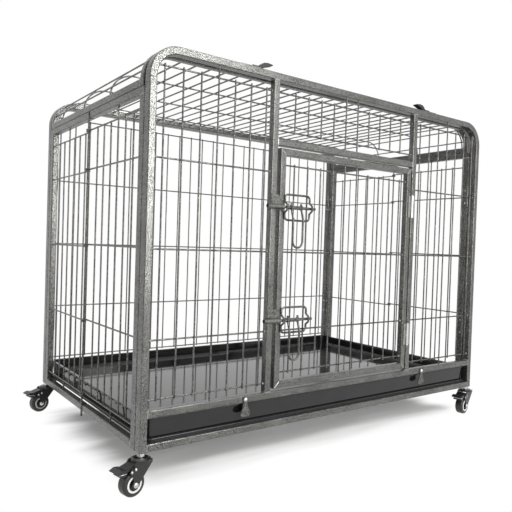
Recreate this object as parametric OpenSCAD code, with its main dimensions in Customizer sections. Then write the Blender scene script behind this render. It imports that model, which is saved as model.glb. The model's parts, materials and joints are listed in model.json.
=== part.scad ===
// Heavy duty folding dog crate on casters: two arched end panels, folding side leaves,
// a lift-up roof, a bolted front door and a slide-out tray.
// Millimetres. X runs along the front (right +), Y from front (-) to back (+), Z up.
// The origin is on the floor at the middle of the plan.

/* [Crate] */
// Width across the front, over the posts
crate_w = 1092; // [960:1:1240]
// Depth from the front face to the back face
crate_d = 660; // [560:1:760]
// Height of the body from the sills' undersides to the arches' tops
body_h = 798; // [700:1:900]
// Floor to the sills' undersides
caster_h = 80; // [74:1:100]

/* [Tube] */
// Square frame tube
tube = 16; // [14:0.5:20]
// Depth of the arch and stile tube, front to back
arch_depth = 22; // [16:0.5:26]
// Tube wall
tube_wall = 1.4; // [1:0.1:2]
// Outer radius of the tube's own edges
edge_r = 2.2; // [1.8:0.1:3]
// Outer radius of the arches' top corners
bend_r = 65; // [40:1:90]

/* [Wire] */
// Grille wire
wire_d = 3.7; // [3:0.1:5]
// How far two welded wires sink into each other
weld_sink = 0.5; // [0.3:0.1:0.8]

/* [Front panel] */
// Clear width between the two door posts
door_opening = 466; // [380:1:540]
// How far the door opening sits right of the middle
door_shift = 3; // [-10:1:10]
// Underside of the header, as a share of the body's height
header_share = 0.798; // [0.7:0.001:0.84]
// Underside of the tray rail above the sills' undersides
tray_rail_z = 66; // [55:1:90]
// Topmost wire row below the arches' tops
row_top_drop = 41; // [36:1:60]
// Spacing of the four upper wire rows, as a share of the body's height
row_pitch_share = 0.225; // [0.2:0.001:0.235]
// Lowest wire row above the rail under it
low_row_rise = 19; // [12:1:30]
// Height of the back panel's lowest row over the tray's slot
back_row_rise = 4.5; // [4:0.5:30]
// Upright wires in each bay
bay_wires = 7; // [5:1:9]
// First upright wire from the post beside it
bay_margin = 17.5; // [10:0.5:30]
// Upright wires in the door and in the transom above it
door_wires = 10; // [8:2:12]
// Spacing of the door's and transom's uprights
door_wire_pitch = 40.7; // [30:0.1:41]
// Upright wires in the back panel
back_wires = 25; // [15:2:27]

/* [Door] */
// Gap between the door and the latch post
door_gap_latch = 9; // [5:0.5:12]
// Gap between the door and the hinge post
door_gap_hinge = 3.5; // [2:0.5:5]
// Gap above the door
door_gap_top = 4; // [2:0.5:8]
// Gap below the door
door_gap_low = 5; // [2:0.5:8]
// Top wire row below the door's top rail
door_row_drop = 21; // [12:1:30]
// Centre height of the door's upper hinge, as a share of the body's height
hinge_high_share = 0.664; // [0.56:0.001:0.7]
// Centre height of the lower hinges, as a share of the body's height
hinge_low_share = 0.228; // [0.2:0.001:0.3]
// Centre height of the upper corner hinges inside, as a share of the body's height
corner_high_share = 0.727; // [0.6:0.001:0.8]

/* [Hinges] */
// Height of a butt hinge
hinge_h = 58; // [40:1:70]
// Width of one hinge leaf from the pin
hinge_leaf_w = 12.5; // [10:0.5:12.5]
// Hinge leaf thickness
hinge_t = 2; // [1.5:0.1:2.5]
// Hinge knuckle diameter
knuckle_d = 7; // [6:0.1:8]
// Hinge pin diameter
hinge_pin_d = 3.5; // [3:0.1:4]

/* [Door bolts] */
// Height of the upper bolt, as a share of the body's height
bolt_high_share = 0.6266; // [0.55:0.0001:0.68]
// Height of the lower bolt, as a share of the body's height
bolt_low_share = 0.3045; // [0.29:0.0001:0.4]
// Bolt rod diameter
bolt_d = 6.5; // [6:0.5:10]
// Bolt rod length
bolt_len = 125; // [110:1:140]
// Guide loop width
guide_w = 74; // [64:1:80]
// Guide loop height
guide_h = 58; // [50:1:70]
// Guide wire diameter
guide_wire_d = 5; // [4:0.5:6]
// Strike plate height above the bolt
strike_h = 26; // [20:1:32]
// Strike plate thickness
strike_t = 2; // [1.5:0.1:2.5]
// Handle loop, middle of leg to middle of leg
handle_w = 29; // [24:1:34]
// Handle drop below the bolt
handle_drop = 91; // [70:1:110]
// Handle wire diameter
handle_d = 5; // [4:0.5:6]

/* [Side leaves] */
// Gap between a panel's post and the leaf's stile
stile_gap = 1.5; // [1:0.1:3]
// Gap between the two leaves' rails at the hinge rod
leaf_gap = 8; // [7.5:0.5:12]
// Hinge rod diameter
rod_d = 4.6; // [4:0.1:6.5]
// Top wire row of a leaf below the leaf's top rail
leaf_row_drop = 30; // [20:1:50]
// Lowest wire row of a leaf above the leaf's bottom rail
leaf_row_rise = 26; // [18:1:40]
// Upright wires in each leaf
leaf_wires = 6; // [4:1:8]

/* [Roof] */
// Gap from the front arch to the roof's front hoop tube
roof_gap_front = 8.5; // [8:0.5:12]
// Gap from the back arch to the roof's back hoop tube
roof_gap_back = 3; // [2:0.5:5]
// Straight leg of the roof's hoop tubes below the bend
roof_leg = 16; // [10:1:30]
// Wires running front to back on the flat of the roof
roof_long_wires_n = 27; // [15:2:29]
// Wires running left to right over the roof
roof_cross_wires_n = 4; // [2:1:6]
// First cross wire behind the front hoop tube
cross_front_margin = 8; // [5:0.5:40]
// Last cross wire ahead of the back hoop tube
cross_back_margin = 54.5; // [5:0.5:80]
// Depth of the long wires' middles below the roof's top
roof_wire_depth = 5.7; // [4:0.1:9]
// Roof hinges' distance from the middle
roof_hinge_x = 330; // [200:1:420]

/* [Roof latches] */
// Latch pivot's distance from the middle
latch_x = 290; // [250:1:400]
// Lever length from the pivot to the finger tab's tip
latch_reach = 40; // [36:1:50]
// Lever width
latch_w = 14; // [10:0.5:16]
// Rise of the finger tab above the lever's foot
latch_rise = 10; // [7:0.5:14]

/* [Tray] */
// Tray height
tray_h = 47; // [35:0.5:48]
// Gap between the tray and the side leaves
tray_side_gap = 2; // [1:0.5:12]
// How far the tray's ends sit behind the panels' outer faces, above the sills
tray_inset = 9; // [6:0.5:20]
// Tray wall and floor
tray_t = 3; // [2:0.1:4]
// Height of the tray's floor over its base
tray_floor_h = 17; // [3:0.5:22]
// Height of the tray's base flange
tray_flange_h = 6; // [5:0.5:12]
// Tray's corner radius
tray_corner_r = 16; // [14:1:40]

/* [Tray buttons] */
// Turn-button's distance from the middle
button_x = 302; // [270:1:420]
// Turn-button's head radius, round its screw
button_r = 7; // [6:0.5:10]
// Half the width of the turn-button's bell
button_bell_r = 13; // [10:0.5:15]
// Drop from the turn-button's screw to its lower edge
button_drop = 38; // [34:0.5:42]
// Turn-button thickness
button_t = 2; // [1.5:0.1:3]

/* [Casters] */
// Wheel diameter
wheel_d = 50; // [44:1:52]
// Tyre width
tyre_w = 22; // [18:0.5:24]
// Wheel centre behind the swivel axis
trail = 20; // [16:0.5:24]
// Stem diameter
stem_d = 10; // [8:0.5:10.5]
// Axle diameter
axle_d = 6; // [5:0.1:7]
// Fork plate thickness
fork_t = 2.5; // [2:0.1:3]
// Brake pedal's reach from the swivel axis
pedal_reach = 62; // [58:1:66]

/* [Hidden] */
$fn = 48;

// Finishes
hammertone = "#a9aaa6";
wire_grey = "#8f908c";
bright = "#d9dadb";
black_plastic = "#1c1c1d";
black_steel = "#2b2b2c";
rubber = "#333334";

// One overrun serves every cut; clearances by kind of fit
overrun = 1;
run_fit = 0.05;
side_fit = 0.3;
touch_gap = 0.05;

// Derived places
half_w = crate_w / 2;
y_front = -crate_d / 2;
y_back = crate_d / 2;
z0 = caster_h;
z_top = z0 + body_h;
inner_x = half_w - tube;
post_offset = door_opening / 2;
post_left_x = door_shift - post_offset;
post_right_x = door_shift + post_offset;
rail_top_z = z0 + tray_rail_z + tube;
header_low = z0 + body_h * header_share;
header_top = header_low + tube;
arch_low = z_top - tube;
rows = [for (i = [0:3]) z_top - row_top_drop - i * row_pitch_share * body_h];
hinge_heights = [z0 + body_h * hinge_high_share, z0 + body_h * hinge_low_share];
corner_heights = [z0 + body_h * corner_high_share, z0 + body_h * hinge_low_share];
low_row = rail_top_z + low_row_rise;
panel_rows = concat(rows, [low_row]);
back_low_row = z0 + tray_rail_z + back_row_rise;
wire_step = wire_d - weld_sink;
grille_inset = tube / 2;
upright_tail = wire_d;

// Axis vectors for tubes and rods
ALONG_X = 0;
ALONG_Y = 1;
ALONG_Z = 2;

// Outline of the tube, centred, with rounded edges
module tube_outline(w, d, r) {
    square([w - 2 * r, d], center = true);
    square([w, d - 2 * r], center = true);
    for (sx = [-1, 1], sy = [-1, 1])
        translate([sx * (w / 2 - r), sy * (d / 2 - r)])
            circle(r);
}

module tube_bar(w, d, r, length, over) {
    translate([0, 0, -over])
        linear_extrude(length + 2 * over)
            tube_outline(w, d, r);
}

// A straight open-ended tube of a box's size, hollow along one axis
module tube_run(size, axis) {
    w = axis == ALONG_X ? size[2] : size[0];
    d = axis == ALONG_Y ? size[2] : size[1];
    translate([for (i = [0:2]) i == axis ? 0 : size[i] / 2])
        rotate(axis == ALONG_X ? [0, 90, 0] : axis == ALONG_Y ? [-90, 0, 0] : [0, 0, 0])
            difference() {
                tube_bar(w, d, edge_r, size[axis], 0);
                tube_bar(w - 2 * tube_wall, d - 2 * tube_wall, edge_r - tube_wall, size[axis], overrun);
            }
}

// A round rod from a start point along one axis
module rod(start, length, axis, d) {
    translate(start)
        rotate(axis == ALONG_X ? [0, 90, 0] : axis == ALONG_Y ? [-90, 0, 0] : [0, 0, 0])
            cylinder(h = length, d = d);
}

// One skin of a tube bent into an arch: two legs, a top run and two bends
module arch_skin(w, h, r, face, depth, inset, over) {
    flat = w / 2 - r;
    translate([0, depth / 2, 0]) {
        translate([-flat, 0, h - face / 2])
            rotate([0, 90, 0])
                linear_extrude(2 * flat)
                    tube_outline(face - 2 * inset, depth - 2 * inset, edge_r - inset);
        for (side = [0, 1])
            mirror([side, 0, 0]) {
                translate([w / 2 - face / 2, 0, -over])
                    linear_extrude(h - r + over)
                        tube_outline(face - 2 * inset, depth - 2 * inset, edge_r - inset);
                translate([flat, 0, h - r])
                    rotate([90, 0, 0])
                        rotate_extrude(angle = 90)
                            translate([r - face / 2, 0])
                                tube_outline(face - 2 * inset, depth - 2 * inset, edge_r - inset);
            }
    }
}

// A tube bent into an arch, hollow, open at its feet
module bent_arch(w, h, r, face, depth) {
    difference() {
        arch_skin(w, h, r, face, depth, 0, 0);
        arch_skin(w, h, r, face, depth, tube_wall, overrun);
    }
}

// Half the clear width inside an arch for a wire row: less than the posts' where the tube bends in
arch_bend_z = z_top - bend_r;
function bend_inside(rise) = half_w - bend_r + sqrt(pow(bend_r - tube, 2) - rise * rise);
function arch_reach(z) =
    z + wire_d / 2 > arch_bend_z ? bend_inside(z + wire_d / 2 - arch_bend_z) : inner_x;

// Welded grille in the XZ plane: rows at y = 0, uprights in front of them.
// Some uprights, the stays, run on to the rails above and below.
module crossed_wires(x_lo, x_hi, levels, uprights, stays, stay_lo, stay_hi) {
    bottom = min(levels) - upright_tail;
    top = max(levels) + upright_tail;
    for (z = levels) {
        left = max(x_lo, -arch_reach(z));
        right = min(x_hi, arch_reach(z));
        rod([left, 0, z], right - left, ALONG_X, wire_d);
    }
    for (x = uprights)
        rod([x, -wire_step, bottom], top - bottom, ALONG_Z, wire_d);
    for (x = stays)
        rod([x, -wire_step, stay_lo], stay_hi - stay_lo, ALONG_Z, wire_d);
}

// Evenly spread places, n of them, between two limits
function spread(lo, hi, n) = [for (i = [0:n - 1]) lo + i * (hi - lo) / max(n - 1, 1)];
function without(list, skip) = [for (v = list) if (len([for (s = skip) if (s == v) s]) == 0) v];
function middles(list) = len(list) % 2 == 1
    ? [list[(len(list) - 1) / 2]]
    : [list[len(list) / 2 - 1], list[len(list) / 2]];

// Front and back panels
module panel_arch() {
    color(hammertone)
        translate([0, 0, z0])
            bent_arch(crate_w, body_h, bend_r, tube, arch_depth);
}

module front_arch() {
    translate([0, y_front, 0])
        panel_arch();
}

module back_arch() {
    translate([0, y_back - arch_depth, 0])
        panel_arch();
}

// A rail between the posts of a panel
module panel_rail(x_lo, x_hi, y, z) {
    color(hammertone)
        translate([x_lo, y, z])
            tube_run([x_hi - x_lo, tube, tube], ALONG_X);
}

module front_posts() {
    color(hammertone)
        for (x = [post_left_x - tube, post_right_x])
            translate([x, y_front, rail_top_z])
                tube_run([tube, tube, arch_low - rail_top_z], ALONG_Z);
}

module front_rails() {
    panel_rail(-inner_x, inner_x, y_front, z0);
    panel_rail(-inner_x, inner_x, y_front, z0 + tray_rail_z);
    panel_rail(post_left_x, post_right_x, y_front, header_low);
}

module back_rails() {
    panel_rail(-inner_x, inner_x, y_back - tube, z0);
}

module bay_grille(x_lo, x_hi) {
    uprights = spread(x_lo + bay_margin, x_hi - bay_margin, bay_wires);
    stays = middles(uprights);
    crossed_wires(x_lo, x_hi, panel_rows, without(uprights, stays), stays, rail_top_z, arch_low);
}

module front_bay_grilles() {
    color(wire_grey)
        translate([0, y_front + grille_inset, 0]) {
            bay_grille(-inner_x, post_left_x - tube);
            bay_grille(post_right_x + tube, inner_x);
        }
}

door_wire_reach = door_wire_pitch * (door_wires - 1) / 2;

module transom_grille() {
    uprights = spread(door_shift - door_wire_reach, door_shift + door_wire_reach, door_wires);
    stays = middles(uprights);
    color(wire_grey)
        translate([0, y_front + grille_inset, 0])
            crossed_wires(post_left_x, post_right_x, [rows[0], header_top + low_row_rise],
                without(uprights, stays), stays, header_top, arch_low);
}

module back_grille() {
    uprights = spread(-inner_x + bay_margin, inner_x - bay_margin, back_wires);
    stays = [uprights[floor(back_wires / 4)], uprights[back_wires - 1 - floor(back_wires / 4)]];
    color(wire_grey)
        translate([0, y_back - grille_inset, 0])
            rotate([0, 0, 180])
                crossed_wires(-inner_x, inner_x, concat(rows, [back_low_row]),
                    without(uprights, stays), stays, back_low_row - upright_tail, arch_low);
}

// Side leaves: stile, top rail and bottom rail, two leaves a side
stile_y = y_front + arch_depth + stile_gap;
stile_inner_y = stile_y + arch_depth;
roof_low = z_top - bend_r - max(roof_leg, tube);
leaf_top = roof_low - side_fit;
leaf_rail_low = leaf_top - tube;
rod_x = half_w;
eye_r = rod_d / 2 + side_fit + wire_d / 2;
leaf_row_x = rod_x - eye_r;
eye_step = wire_d / 2 + side_fit;
leaf_rows = [leaf_rail_low - leaf_row_drop, rows[1], rows[2], rows[3], z0 + tube + leaf_row_rise];

// The front leaf of the right side; the others are its mirror images
module leaf_frame() {
    color(hammertone) {
        translate([inner_x, stile_y, z0])
            tube_run([tube, arch_depth, leaf_rail_low - z0], ALONG_Z);
        translate([inner_x, stile_y, leaf_rail_low])
            tube_run([tube, -leaf_gap / 2 - stile_y, tube], ALONG_Y);
        translate([inner_x, stile_inner_y, z0])
            tube_run([tube, -leaf_gap / 2 - stile_inner_y, tube], ALONG_Y);
    }
}

// A leaf's wires: each row ends in an eye bent round the hinge rod.
// The two leaves' eyes stack, so one set is raised and the other lowered by eye_shift.
module leaf_wire_set(eye_shift) {
    pitch = -stile_inner_y / (leaf_wires + 1);
    uprights = [for (i = [1:leaf_wires]) stile_inner_y + i * pitch];
    stays = [uprights[floor((leaf_wires - 1) / 2)]];
    levels = [for (z = leaf_rows) z + eye_shift];
    upright_x = leaf_row_x - wire_step;
    bottom = min(levels) - upright_tail;
    top = max(levels) + upright_tail;
    color(wire_grey) {
        for (z = levels) {
            rod([leaf_row_x, stile_inner_y, z], -stile_inner_y, ALONG_Y, wire_d);
            translate([rod_x, 0, z])
                rotate([0, 0, 180])
                    mirror([0, 1, 0])
                        rotate_extrude(angle = eye_turn)
                            translate([eye_r, 0])
                                circle(d = wire_d);
        }
        for (y = without(uprights, stays))
            rod([upright_x, y, bottom], top - bottom, ALONG_Z, wire_d);
        for (y = stays)
            rod([upright_x, y, z0 + tube], leaf_rail_low - z0 - tube, ALONG_Z, wire_d);
    }
}

// How far round the rod an eye is bent
eye_turn = 265;

module leaf_pair_frames() {
    leaf_frame();
    mirror([0, 1, 0])
        leaf_frame();
}

module leaf_pair_wires() {
    leaf_wire_set(eye_step);
    mirror([0, 1, 0])
        leaf_wire_set(-eye_step);
}

module right_leaf_frames() {
    leaf_pair_frames();
}

module left_leaf_frames() {
    mirror([1, 0, 0])
        leaf_pair_frames();
}

module right_leaf_wires() {
    leaf_pair_wires();
}

module left_leaf_wires() {
    mirror([1, 0, 0])
        leaf_pair_wires();
}

// Hinge rods of the folding sides, standing out below the bottom rails
rod_below = 12;
rod_top_drop = 5;

module side_hinge_rods() {
    color(wire_grey)
        for (x = [-rod_x, rod_x])
            rod([x, 0, z0 - rod_below], leaf_top - rod_top_drop - z0 + rod_below, ALONG_Z, rod_d);
}

// Butt hinge with its pin on the local Z axis through the origin.
// A leaf reaches along +X, its back face at y = knuckle_d / 2. The odd leaf has the outer
// knuckles and the even leaf the middle one.
knuckle_gap = 0.4;

module hinge_leaf(height, outer) {
    third = height / 3;
    zones = outer ? [-1, 1] : [0];
    plate_start = knuckle_d / 2 + knuckle_gap;
    difference() {
        union() {
            translate([plate_start, knuckle_d / 2 - hinge_t, -height / 2])
                cube([hinge_leaf_w - plate_start, hinge_t, height]);
            for (k = zones) {
                translate([0, 0, k * third - third / 2 + knuckle_gap / 2])
                    cylinder(h = third - knuckle_gap, d = knuckle_d);
                translate([0, knuckle_d / 2 - hinge_t, k * third - third / 2 + knuckle_gap / 2])
                    cube([hinge_leaf_w, hinge_t, third - knuckle_gap]);
            }
        }
        translate([0, 0, -height / 2 - overrun])
            cylinder(h = height + 2 * overrun, d = hinge_pin_d + 2 * run_fit);
    }
}

pin_head_h = 1.5;

module hinge_pin(height) {
    translate([0, 0, -height / 2])
        cylinder(h = height, d = hinge_pin_d);
    for (z = [-height / 2 - pin_head_h, height / 2])
        translate([0, 0, z])
            cylinder(h = pin_head_h, d = knuckle_d - 2 * run_fit);
}

// Inner hinges between the panels' posts and the leaves' stiles, two at each corner
corner_y = stile_y - stile_gap / 2;

module at_corner_hinges() {
    for (sx = [0, 1], sy = [0, 1], z = corner_heights)
        mirror([sx, 0, 0])
            mirror([0, sy, 0])
                translate([inner_x - knuckle_d / 2, corner_y, z])
                    rotate([0, 0, -90])
                        children();
}

module corner_hinges() {
    color(hammertone)
        at_corner_hinges() {
            hinge_leaf(hinge_h, true);
            mirror([1, 0, 0])
                hinge_leaf(hinge_h, false);
            hinge_pin(hinge_h);
        }
}

// Floor bars under the tray, between the front and back sills
floor_bar_n = 7;
floor_bar_edge_share = 0.1;

floor_bar_reach = inner_x - crate_w * floor_bar_edge_share;

module floor_bars() {
    color(wire_grey)
        for (x = spread(-floor_bar_reach, floor_bar_reach, floor_bar_n))
            rod([x, y_front + tube, z0 + tube - wire_d / 2], crate_d - 2 * tube, ALONG_Y, wire_d);
}

// Tray: base flange, wall drawn in above it, rolled rim and a bevelled inside
tray_w = 2 * (inner_x - tray_side_gap);
tray_d = crate_d - 2 * tray_inset;
tray_low = z0 + tube + side_fit;
tray_draw_in = 6;
tray_rim_h = 4;
tray_bevel = 26;

module rounded_plate(w, d, r, h) {
    linear_extrude(h)
        for (turn = [[w, d - 2 * r], [w - 2 * r, d]])
            square(turn, center = true);
    for (sx = [-1, 1], sy = [-1, 1])
        translate([sx * (w / 2 - r), sy * (d / 2 - r), 0])
            cylinder(h = h, r = r);
}

skin = 0.01;

module tray_layer(inset, z) {
    translate([0, 0, z])
        for (sx = [-1, 1], sy = [-1, 1])
            translate([sx * (tray_w / 2 - tray_corner_r), sy * (tray_d / 2 - tray_corner_r), 0])
                cylinder(h = skin, r = tray_corner_r - inset, $fn = 32);
}

module tray() {
    wall_in = tray_draw_in + tray_t;
    floor_in = tray_bevel / 2;
    color(black_plastic)
        translate([0, 0, tray_low])
            difference() {
                union() {
                    rounded_plate(tray_w, tray_d, tray_corner_r, tray_flange_h);
                    hull() {
                        tray_layer(tray_draw_in, tray_flange_h - skin);
                        tray_layer(tray_t, tray_h - tray_rim_h);
                    }
                    translate([0, 0, tray_h - tray_rim_h])
                        rounded_plate(tray_w, tray_d, tray_corner_r, tray_rim_h);
                }
                hull() {
                    tray_layer(floor_in, tray_floor_h);
                    tray_layer(wall_in, tray_floor_h + tray_flange_h);
                    tray_layer(tray_t + tray_t, tray_h + overrun);
                }
            }
}

// Roof: two bent tubes, two side rails, long wires and bent cross wires
roof_front_y = y_front + arch_depth + roof_gap_front;
roof_back_y = y_back - arch_depth - roof_gap_back - tube;
roof_inner_y = roof_front_y + tube;
roof_span = roof_back_y - roof_inner_y;
roof_wire_r = bend_r - roof_wire_depth;
roof_wire_z = z_top - roof_wire_depth;

module roof_arches() {
    color(hammertone)
        for (y = [roof_front_y, roof_back_y])
            translate([0, y, roof_low])
                bent_arch(crate_w, z_top - roof_low, bend_r, tube, tube);
}

module roof_side_rails() {
    color(hammertone)
        for (x = [-half_w, inner_x])
            translate([x, roof_inner_y, roof_low])
                tube_run([tube, roof_span, tube], ALONG_Y);
}

// Two long wires lie on each rounded shoulder, at these shares of the bend
shoulder_shares = [0.33, 0.79];
long_wire_offset = wire_d + touch_gap;

module roof_long_wires() {
    flat_reach = half_w - bend_r;
    color(wire_grey) {
        for (x = spread(-flat_reach, flat_reach, roof_long_wires_n))
            rod([x, roof_inner_y, roof_wire_z], roof_span, ALONG_Y, wire_d);
        for (side = [-1, 1], share = shoulder_shares) {
            a = 90 * share;
            x = flat_reach + roof_wire_r * sin(a);
            z = z_top - bend_r + roof_wire_r * cos(a);
            rod([side * x, roof_inner_y, z], roof_span, ALONG_Y, wire_d);
        }
    }
}

// Cross wires run under the long ones and bend down onto the side rails
cross_r = roof_wire_r - long_wire_offset;
cross_z = z_top - bend_r + cross_r;
cross_leg_low = roof_low + tube;

module roof_cross_wire() {
    flat_reach = half_w - bend_r;
    rod([-flat_reach, 0, cross_z], 2 * flat_reach, ALONG_X, wire_d);
    for (side = [0, 1])
        mirror([side, 0, 0]) {
            translate([flat_reach, 0, z_top - bend_r])
                rotate([90, 0, 0])
                    rotate_extrude(angle = 90)
                        translate([cross_r, 0])
                            circle(d = wire_d);
            if (z_top - bend_r > cross_leg_low)
                rod([flat_reach + cross_r, 0, cross_leg_low], z_top - bend_r - cross_leg_low, ALONG_Z,
                    wire_d);
        }
}

module roof_cross_wires() {
    first = roof_inner_y + cross_front_margin;
    last = roof_back_y - cross_back_margin;
    color(wire_grey)
        for (y = spread(first, last, roof_cross_wires_n))
            translate([0, y, 0])
                roof_cross_wire();
}

// Roof hinges on top of the back: pin along X over the gap between the two tubes
roof_hinge_y = y_back - arch_depth - roof_gap_back / 2;
roof_hinge_z = z_top + knuckle_d / 2;

module at_roof_hinges() {
    for (x = [-roof_hinge_x, roof_hinge_x])
        translate([x, roof_hinge_y, roof_hinge_z])
            rotate([0, 90, 0])
                rotate([0, 0, 90])
                    children();
}

module roof_hinge_leaves() {
    color(bright)
        at_roof_hinges()
            mirror([1, 0, 0])
                mirror([0, 1, 0])
                    hinge_leaf(hinge_h, true);
}

module back_hinge_leaves() {
    color(bright)
        at_roof_hinges()
            mirror([0, 1, 0])
                hinge_leaf(hinge_h, false);
}

module roof_hinge_pins() {
    color(bright)
        at_roof_hinges()
            hinge_pin(hinge_h);
}

// Turn latches on the front arch's top: plate, bent lever with a finger tab, dome rivets
latch_plate_t = 2;
latch_plate_back = 44;
latch_plate_front = 8;
latch_lever_t = 2;
latch_toe = 14;
latch_fin_start = 5.4;
rivet_d = 5;
rivet_head_d = 9;
rivet_head_h = 2.6;
latch_y = y_front + arch_depth / 2;
latch_screw_x = latch_plate_back - rivet_head_d;
lever_low = latch_plate_t + side_fit;

module rivet(grip) {
    cylinder(h = grip, d = rivet_d);
    translate([0, 0, grip])
        intersection() {
            translate([0, 0, rivet_head_h - dome_r])
                sphere(r = dome_r);
            cylinder(h = rivet_head_h, d = rivet_head_d);
        }
}

dome_r = (rivet_head_d * rivet_head_d / 4 + rivet_head_h * rivet_head_h) / (2 * rivet_head_h);

// Places the latch hardware at both pivots; the plates reach outwards and the tabs inwards
module at_latches(sides) {
    for (side = sides)
        mirror([side < 0 ? 1 : 0, 0, 0])
            translate([latch_x, latch_y, z_top])
                children();
}

module rivet_bore(z, t) {
    translate([0, 0, z - overrun])
        cylinder(h = t + 2 * overrun, d = rivet_d + 2 * run_fit);
}

module latch_plates() {
    color(hammertone)
        at_latches([-1, 1])
            difference() {
                translate([-latch_plate_front, -latch_w / 2, 0])
                    cube([latch_plate_front + latch_plate_back, latch_w, latch_plate_t]);
                rivet_bore(0, latch_plate_t);
                translate([latch_screw_x, 0, 0])
                    rivet_bore(0, latch_plate_t);
            }
}

// Side outline of the lever: a foot round the rivet, then a fin that sweeps to the finger tip
fin_run_shares = [0.38, 0.62, 0.68, 0.4, 0.22];
fin_rise_shares = [0.52, 1.8, 0.7];

function lever_outline(rise) = [
    [-latch_toe, 0],
    [latch_reach * fin_run_shares[0], 0],
    [latch_reach * fin_run_shares[1], rise * fin_rise_shares[0]],
    [latch_reach, rise],
    [latch_reach, rise + latch_lever_t],
    [latch_reach * fin_run_shares[2], rise + latch_lever_t * fin_rise_shares[1]],
    [latch_reach * fin_run_shares[3], rise + latch_lever_t],
    [latch_reach * fin_run_shares[4], rise * fin_rise_shares[2]],
    [latch_fin_start, latch_lever_t],
    [-latch_toe, latch_lever_t]];

module latch_lever(side) {
    color(black_steel)
        at_latches([side])
            difference() {
                mirror([1, 0, 0])
                    translate([0, latch_w / 2, lever_low])
                        rotate([90, 0, 0])
                            linear_extrude(latch_w)
                                polygon(lever_outline(latch_rise));
                rivet_bore(lever_low, latch_lever_t);
            }
}

module left_latch_lever() {
    latch_lever(-1);
}

module right_latch_lever() {
    latch_lever(1);
}

module latch_rivets() {
    color(bright)
        at_latches([-1, 1]) {
            rivet(lever_low + latch_lever_t + touch_gap);
            translate([latch_screw_x, 0, 0])
                rivet(latch_plate_t);
        }
}

// Door: mitred tube frame and its welded wires
door_left = post_left_x + door_gap_latch;
door_right = post_right_x - door_gap_hinge;
door_low = rail_top_z + door_gap_low;
door_high = header_low - door_gap_top;
door_w = door_right - door_left;
door_h = door_high - door_low;
door_mid_x = (door_left + door_right) / 2;
door_rows = [door_high - tube - door_row_drop, rows[2], rows[3], door_low + tube + low_row_rise];

// One side of a mitred frame, lying along X with its long edge on z = 0
module mitred_side(length) {
    intersection() {
        tube_run([length, tube, tube], ALONG_X);
        rotate([90, 0, 0])
            translate([0, 0, -tube])
                linear_extrude(tube)
                    polygon([[0, 0], [length, 0], [length - tube, tube], [tube, tube]]);
    }
}

module door_frame() {
    color(hammertone)
        translate([door_left, y_front, door_low]) {
            mitred_side(door_w);
            translate([0, 0, door_h])
                mirror([0, 0, 1])
                    mitred_side(door_w);
            translate([0, 0, door_h])
                rotate([0, 90, 0])
                    mitred_side(door_h);
            translate([door_w, 0, door_h])
                mirror([1, 0, 0])
                    rotate([0, 90, 0])
                        mitred_side(door_h);
        }
}

module door_grille() {
    uprights = spread(door_mid_x - door_wire_reach, door_mid_x + door_wire_reach, door_wires);
    stays = middles(uprights);
    color(wire_grey)
        translate([0, y_front + grille_inset, 0])
            crossed_wires(door_left + tube, door_right - tube, door_rows, without(uprights, stays),
                stays, door_low + tube, door_high - tube);
}

// Door hinges on the front faces of the door and the right post
door_hinge_x = (door_right + post_right_x) / 2;
door_hinge_y = y_front - knuckle_d / 2;

module at_door_hinges() {
    for (z = hinge_heights)
        translate([door_hinge_x, door_hinge_y, z])
            children();
}

module door_hinge_leaves() {
    color(bright)
        at_door_hinges()
            mirror([1, 0, 0])
                hinge_leaf(hinge_h, false);
}

module post_hinge_leaves() {
    color(bright)
        at_door_hinges()
            hinge_leaf(hinge_h, true);
}

module door_hinge_pins() {
    color(bright)
        at_door_hinges()
            hinge_pin(hinge_h);
}

// Door bolts: rods that slide along X in a rolled strike plate and a wire guide
strike_roll_r = bolt_d / 2 + side_fit + strike_t;
bolt_y = y_front - side_fit - strike_roll_r;
strike_left = post_left_x - tube;
strike_right = door_left + tube / 2;
bolt_tip_x = post_left_x - tube + overrun;
guide_left = door_left + tube / 2 + guide_wire_d;
bolt_heights = [z0 + body_h * bolt_high_share, z0 + body_h * bolt_low_share];

module strike_plate() {
    width = strike_right - strike_left;
    plate_y = y_front - side_fit - strike_t;
    difference() {
        union() {
            translate([strike_left, plate_y, 0])
                cube([width, strike_t, strike_h]);
            translate([door_left, plate_y, strike_roll_r])
                cube([strike_right - door_left, strike_t + side_fit, strike_h - strike_roll_r]);
            rod([strike_left, bolt_y, 0], width, ALONG_X, 2 * strike_roll_r);
        }
        rod([strike_left - overrun, bolt_y, 0], width + 2 * overrun, ALONG_X, bolt_d + 2 * side_fit);
    }
}

module strike_plates() {
    color(hammertone)
        for (z = bolt_heights)
            translate([0, 0, z])
                strike_plate();
}

// A tube of round section swept along a flat path, its rings square to the path.
// The path lies in the plane across the unit vector side.
function unit(v) = v / norm(v);
function path_dir(p, i, closed) =
    let (n = len(p))
    let (before = closed ? p[(i + n - 1) % n] : p[max(i - 1, 0)])
    let (after = closed ? p[(i + 1) % n] : p[min(i + 1, n - 1)])
    unit(unit(after - p[i] + (after == p[i] ? p[i] - before : [0, 0, 0]))
        + unit(p[i] - before + (p[i] == before ? after - p[i] : [0, 0, 0])));

sweep_sides = 10;

function ring(p, i, r, side, closed) =
    let (across = cross(path_dir(p, i, closed), side))
    [for (k = [0:sweep_sides - 1])
        p[i] + r * cos(360 * k / sweep_sides) * side + r * sin(360 * k / sweep_sides) * across];

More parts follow.
